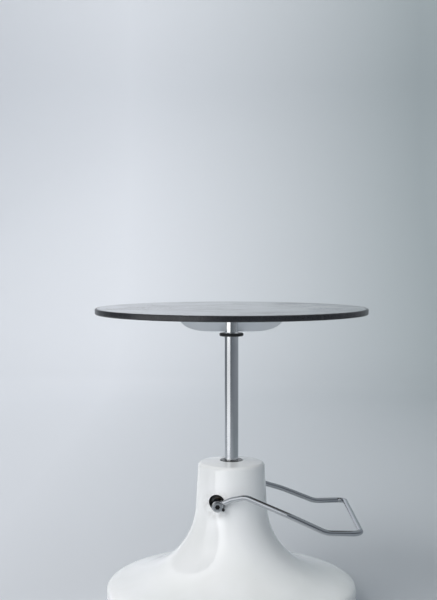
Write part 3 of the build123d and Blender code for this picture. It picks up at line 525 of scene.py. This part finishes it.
def bell(inset):
    """The bell's flare and rim, from the neck's root down to the rim."""
    lean = (NECK_ROOT[0] - NECK_TOP[0]) / (NECK_TOP[1] - NECK_ROOT[1])
    root = (NECK_ROOT[0] - inset, NECK_ROOT[1])
    end = (FLARE_END[0] - inset * math.sin(FLARE_SLOPE), FLARE_END[1] - inset * math.cos(FLARE_SLOPE))
    rim = (RIM_R - inset, RIM_Z)
    out, up = math.cos(FLARE_SLOPE), math.sin(FLARE_SLOPE)
    flare = [root, (root[0] + 46.5 * lean, root[1] - 46.5), (end[0] - 52 * out, end[1] + 52 * up), end]
    crown = [end, (end[0] + 38.6 * out, end[1] - 38.6 * up), (rim[0], rim[1] + 16.5 - 0.5 * inset), rim]
    return bezier(flare, 40) + bezier(crown, 40)[1:]


def arc(centre, radius, start, end, count=8):
    turns = [math.radians(start + (end - start) * k / count) for k in range(count + 1)]
    return [(centre[0] + radius * math.cos(t), centre[1] + radius * math.sin(t)) for t in turns]


def crown_height(r):
    """Height on the parabola through the crown's three points."""
    middle = (0.6 * NECK_TOP[0], NECK_TOP[1] + 0.62 * (CROWN_Z - NECK_TOP[1]))
    points = [(SEAT_R, CROWN_Z), middle, NECK_TOP]
    total = 0
    for i, (ri, zi) in enumerate(points):
        share = zi
        for j, (rj, zj) in enumerate(points):
            if i != j:
                share *= (r - rj) / (ri - rj)
        total += share
    return total


# the crown from the seal's seat outwards, the neck's round edge, and the straight neck
outline = [(SEAT_R, SEAT_Z), (SEAT_R, CROWN_Z - 0.8), (SEAT_R + 0.8, CROWN_Z)]
crown_run = [SEAT_R + CROWN_STEP + CROWN_STEP * k for k in range(CROWN_STEPS)]
crown_run = [(r, crown_height(r)) for r in crown_run if r < NECK_TOP[0] - NECK_EDGE]
edge = rounded([Vector((*p, 0)) for p in (crown_run[-1], NECK_TOP, NECK_ROOT)], [NECK_EDGE_R], 10)
outline += crown_run + [(p.x, p.y) for p in edge[1:-1]]
last = Vector(outline[-1])
root = Vector(NECK_ROOT)
outline += [tuple(last + (root - last) * k / NECK_STEPS) for k in range(1, NECK_STEPS)]
# the bell outside, the foot, the ledge that holds the base plate, and back up the inside
outline += bell(0)
outline += arc((RIM_R - FOOT_ROUND, FOOT_Z + FOOT_ROUND), FOOT_ROUND, 0, -90)
outline += [(RIM_R - WALL, FOOT_Z), (RIM_R - WALL, LEDGE_LOW_Z)]
outline += [(LEDGE_R, LEDGE_LOW_Z), (LEDGE_R, LEDGE_TOP_Z), (RIM_R - WALL, LEDGE_TOP_Z)]
outline += bell(WALL)[::-1]
outline += [(NECK_TOP[0] - WALL, ROOF_Z), (COLLAR_R, ROOF_Z), (COLLAR_R, COLLAR_Z)]
outline += [(BORE_R, COLLAR_Z), (BORE_R, SEAT_Z)]
shell = lathe(outline, 256)
# the openings for the lever's bosses, both cut by one bar across the neck
bar = [(0, -WALL_HOLE_HALF), (WALL_HOLE_R, -WALL_HOLE_HALF)]
bar += [(WALL_HOLE_R, WALL_HOLE_HALF), (0, WALL_HOLE_HALF)]
hole = lathe(bar, 96)
hole_at = Vector((WALL_HOLE_AT[0], 0, WALL_HOLE_AT[1])) * MM
hole.transform(Matrix.Translation(hole_at) @ Matrix.Rotation(math.pi / 2, 4, "X"))
shell = cut(shell, hole, 0.0007)
finish_mesh(shell, "enamel_shell", "white_enamel", "base", ["base_shell"], 40)

# ---------------------------------------------------------------------------
# Pump lever
# ---------------------------------------------------------------------------
ARM = [
    (-23, 60, 188.5), (0, 68, 199.8), (22, 79, 206.3),
    (90, 101.5, 181.9), (148, 111.5, 157.3), (202, 116.5, 157.8),
]
ARM_RADII = [25, 22, 60, 40, 13]
WIRE_R = 4.5
corners = [Vector((x, -y, z)) * MM for x, y, z in ARM] + [Vector(p) * MM for p in reversed(ARM)]
bow = rounded(corners, [r * MM for r in ARM_RADII + ARM_RADII[::-1]], 12)
finish_mesh(tube(bow, WIRE_R * MM), "bent_bail", "bail_chrome", "lever", ["lever_bail"], 60)


# ---------------------------------------------------------------------------
# Return springs, hidden in the base
# ---------------------------------------------------------------------------
SPRING_TURNS = 7
PUMP_AT, PUMP_TRAVEL, PUMP_COIL_R, PUMP_WIRE_R = (30, 0), 20.53, 7, 0.9
RELEASE_AT, RELEASE_TRAVEL, RELEASE_COIL_R, RELEASE_WIRE_R = (31, 23), 3, 3.8, 0.5


def return_spring(name, node, body, at, coil_r, wire_r):
    """A coil that rides on its pressed part."""
    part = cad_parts[node]
    heights = [(part.matrix_world @ corner.co).z for corner in part.data.vertices]
    foot, head = min(heights), max(heights)
    wire = wire_r * MM
    steps = SPRING_TURNS * 24
    path = []
    for k in range(steps + 1):
        turn = 2 * math.pi * SPRING_TURNS * k / steps
        x, y = at[0] + coil_r * math.cos(turn), at[1] + coil_r * math.sin(turn)
        path.append(Vector((x * MM, y * MM, foot + wire + (head - foot - 2 * wire) * k / steps)))
    piece = finish_mesh(tube(path, wire, 12), name, "spring_steel", body, [node])
    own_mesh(piece)


return_spring(
    "pump_coil", "plunger_spring", "plunger",
    PUMP_AT, PUMP_COIL_R, PUMP_WIRE_R,
)
return_spring(
    "release_coil", "release_spring", "release",
    RELEASE_AT, RELEASE_COIL_R, RELEASE_WIRE_R,
)

# ---------------------------------------------------------------------------
# Ram, edge trim and the top's sheet
# ---------------------------------------------------------------------------
RAM_R, RAM_LOW_Z, RAM_HIGH_Z = 11.5, 215.7, 463.4
TAIL_R, TAIL_Z, TAIL_BORE_R, TAIL_BORE_Z = 8, 204, 3, 210
SPIGOT_R, GROOVE_R, GROOVE_LOW_Z, GROOVE_HIGH_Z = 6.5, 5.5, 474, 478
CUP_R, CUP_Z, CUP_ABOVE = 4.5, 485.4, 3.4
TOP_R, TOP_Z, BOARD_R = 225, 505, 221.5
TRIM_LOW_Z, TRIM_ROUND = 495.5, 2.2
SHEET_LOW_Z, SHEET_EASE = 504.2, 0.15

# up the outside from the screw's bore, past the retaining groove, and down into the ball's cup
ram_outline = [(0, TAIL_BORE_Z), (TAIL_BORE_R, TAIL_BORE_Z), (TAIL_BORE_R, TAIL_Z)]
ram_outline += [(TAIL_R, TAIL_Z), (TAIL_R, RAM_LOW_Z), (RAM_R, RAM_LOW_Z)]
ram_outline += [(RAM_R, RAM_HIGH_Z), (SPIGOT_R, RAM_HIGH_Z), (SPIGOT_R, GROOVE_LOW_Z)]
ram_outline += [(GROOVE_R, GROOVE_LOW_Z), (GROOVE_R, GROOVE_HIGH_Z), (SPIGOT_R, GROOVE_HIGH_Z)]
ram_outline += arc((0, CUP_Z), CUP_R, -math.degrees(math.asin(CUP_ABOVE / CUP_R)), -90)
finish_mesh(lathe(ram_outline, 128), "plated_ram", "ram_chrome", "column", ["ram"])

corner_r = TOP_R - TRIM_ROUND
trim = [(BOARD_R, TRIM_LOW_Z), (corner_r, TRIM_LOW_Z)]
trim += arc((corner_r, TRIM_LOW_Z + TRIM_ROUND), TRIM_ROUND, -90, 0)
trim += arc((corner_r, TOP_Z - TRIM_ROUND), TRIM_ROUND, 0, 90) + [(BOARD_R, TOP_Z)]
finish_mesh(lathe(trim, 384), "rolled_trim", "black_trim", "table", ["edge_trim"])

sheet = [(0, SHEET_LOW_Z), (BOARD_R, SHEET_LOW_Z), (BOARD_R, TOP_Z - SHEET_EASE)]
sheet += [(BOARD_R - SHEET_EASE, TOP_Z), (0, TOP_Z)]
finish_mesh(lathe(sheet, 384), "gloss_sheet", "black_laminate", "table", ["top_laminate"])

# ---------------------------------------------------------------------------
# Studio
# ---------------------------------------------------------------------------
ROOM_R, ROOM_H, COVE, ROOM_WALL = 4200, 3600, 1500, 20

wall = arc((ROOM_R - COVE, COVE), COVE, -90, 0, 24) + [(ROOM_R, ROOM_H)]
behind = [(ROOM_R + ROOM_WALL, ROOM_H), (ROOM_R + ROOM_WALL, -ROOM_WALL), (0, -ROOM_WALL)]
room = lathe([(0, 0)] + wall + behind, 128)
# pale paper with painted light and shade: a painted falloff makes it darker to the right, and painted shade
# makes it darker out of the way at the sides and in front
painted_shade_paper = Shader("painted_shade_paper", Roughness=0.9, Specular_IOR_Level=0.2)
px, py, _ = painted_shade_paper.split()
# painted shade: these masks keep the pale tone behind the object and fade to a darker grey at the sides and
# in front
half = painted_shade_paper.math("MULTIPLY_ADD", painted_shade_paper.math("MAXIMUM", py, 0.0), 0.2, 0.75)
across = painted_shade_paper.span(painted_shade_paper.math("SUBTRACT", painted_shade_paper.math("ABSOLUTE", px), half), 0.0, 1.6, 1.0, 0.0)
along = painted_shade_paper.span(py, -2.6, -0.7)
# painted falloff: the tone darkens from left to right in place of light falling off across the backdrop
painted_falloff = painted_shade_paper.mix(painted_shade_paper.span(px, -0.5, 1.05), rgb(218, 222, 228), rgb(144, 153, 157))
painted_shade_paper.set(Base_Color=painted_shade_paper.mix(painted_shade_paper.math("MULTIPLY", across, along), rgb(140, 145, 151), painted_falloff))
room.materials.append(painted_shade_paper.material)
room.shade_smooth()
backdrop = bpy.data.objects.new("backdrop", room)
scene.collection.objects.link(backdrop)
backdrop.visible_shadow = False  # the distant lights shine in from outside the sweep


def hang(name, light, location, target, matt=True, polished=True):
    """Puts up a light; the matt surfaces and the reflections can each be left without it."""
    holder = bpy.data.objects.new(name, light)
    holder.location = location
    holder.rotation_euler = (Vector(target) - Vector(location)).to_track_quat("-Z", "Y").to_euler()
    holder.visible_camera = False
    holder.visible_diffuse = matt
    holder.visible_glossy = polished
    scene.collection.objects.link(holder)


def softbox(name, location, target, size, power):
    """A near panel seen only in the polished pieces, so that it leaves no edge on the backdrop."""
    light = bpy.data.lights.new(name, "AREA")
    light.shape = "RECTANGLE"
    light.size, light.size_y = size
    light.energy = power
    hang(name, light, location, target, matt=False)


def distant(name, azimuth, elevation, spread, strength, tint=(1, 1, 1)):
    """A broad far light; azimuth 0 is the front, and positive turns to the right. Angles in degrees."""
    light = bpy.data.lights.new(name, "SUN")
    light.energy = strength
    light.angle = math.radians(spread)
    light.color = tint
    around, up = math.radians(azimuth), math.radians(elevation)
    way = Vector((math.sin(around) * math.cos(up), -math.cos(around) * math.cos(up), math.sin(up)))
    hang(name, light, way * 6, (0, 0, 0), polished=False)


softbox("window", (-1.61, -1.35, 1.2), (0, 0, 0.7), (2.8, 1.9), 16)
softbox("low", (-0.98, -0.80, 0.22), (0, 0, 0.22), (1.45, 0.42), 1.6)
distant("key", -54, 32, 60, 2.65, (1.04, 1.0, 0.97))
distant("fill", -16, 20, 60, 0.95)
distant("back", 180, 45, 60, 0.35)
distant("bounce", -20, -40, 60, 0.8)

world = bpy.data.worlds.new("room_light")
scene.world = world
world.use_nodes = True
sky = world.node_tree.nodes["Background"]
sky.inputs["Color"].default_value = (0.93, 1.0, 1.05, 1)
sky.inputs["Strength"].default_value = 0.42
scene.view_settings.view_transform = "Standard"
scene.view_settings.look = "None"
